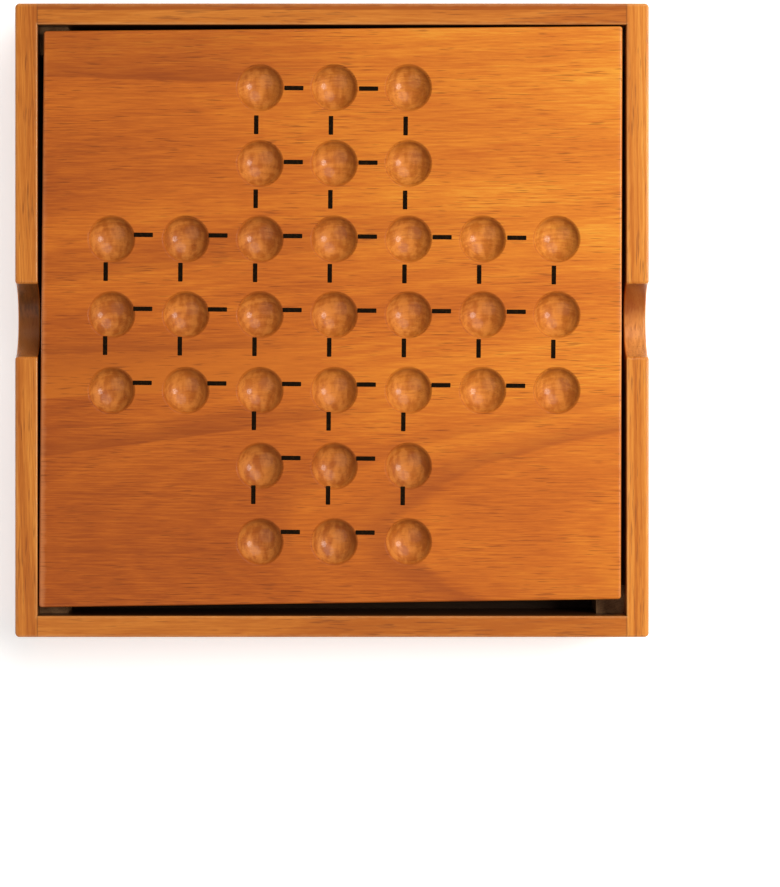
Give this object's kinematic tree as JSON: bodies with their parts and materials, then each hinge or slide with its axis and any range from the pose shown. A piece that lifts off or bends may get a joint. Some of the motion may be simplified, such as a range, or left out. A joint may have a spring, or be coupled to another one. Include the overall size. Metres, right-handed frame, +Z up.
{
  "type": "solitaire board game in a tray",
  "caption": "Square wooden solitaire tray with finger notches; a loose board with a cross of round dimples lifts off the balls stored below.",
  "frame": {"origin": "middle of the tray's underside, on the surface it stands on", "axes": "+Z up out of the tray, +X to the right and +Y to the back as the picture shows it; the notched walls are the left and right ones"},
  "size_m": [0.17, 0.17, 0.028],
  "materials": {
    "tray_wood": "satin varnish",
    "board_wood": "satin varnish",
    "block_wood": "bare wood",
    "floor_panel": "bare plywood",
    "ball_wood": "waxed"
  },
  "bodies": {
    "tray": {"wall_left": "tray_wood", "wall_right": "tray_wood", "wall_back": "tray_wood", "wall_front": "tray_wood", "tray_floor": "floor_panel", "corner_block_front_left": "block_wood", "corner_block_front_right": "block_wood", "corner_block_back_left": "block_wood", "corner_block_back_right": "block_wood"},
    "board": {"game_board": "board_wood"},
    "ball_row_1": {"ball_01": "ball_wood", "ball_02": "ball_wood", "ball_03": "ball_wood", "ball_04": "ball_wood", "ball_05": "ball_wood", "ball_06": "ball_wood", "ball_07": "ball_wood", "ball_08": "ball_wood"},
    "ball_row_2": {"ball_09": "ball_wood", "ball_10": "ball_wood", "ball_11": "ball_wood", "ball_12": "ball_wood", "ball_13": "ball_wood", "ball_14": "ball_wood", "ball_15": "ball_wood", "ball_16": "ball_wood"},
    "ball_row_3": {"ball_17": "ball_wood", "ball_18": "ball_wood", "ball_19": "ball_wood", "ball_20": "ball_wood", "ball_21": "ball_wood", "ball_22": "ball_wood", "ball_23": "ball_wood", "ball_24": "ball_wood"},
    "ball_row_4": {"ball_25": "ball_wood", "ball_26": "ball_wood", "ball_27": "ball_wood", "ball_28": "ball_wood", "ball_29": "ball_wood", "ball_30": "ball_wood", "ball_31": "ball_wood", "ball_32": "ball_wood"}
  },
  "joints": [
    {"name": "board_lift", "type": "slide", "parent": "tray", "child": "board", "axis": [0, 0, 1], "range_m": [0, 0.045]},
    {"name": "ball_row_1_roll", "type": "slide", "parent": "tray", "child": "ball_row_1", "axis": [1, 0, 0], "range_m": [0, 0.043]},
    {"name": "ball_row_2_roll", "type": "slide", "parent": "tray", "child": "ball_row_2", "axis": [1, 0, 0], "range_m": [0, 0.043]},
    {"name": "ball_row_3_roll", "type": "slide", "parent": "tray", "child": "ball_row_3", "axis": [1, 0, 0], "range_m": [0, 0.043]},
    {"name": "ball_row_4_roll", "type": "slide", "parent": "tray", "child": "ball_row_4", "axis": [1, 0, 0], "range_m": [0, 0.043]}
  ]
}
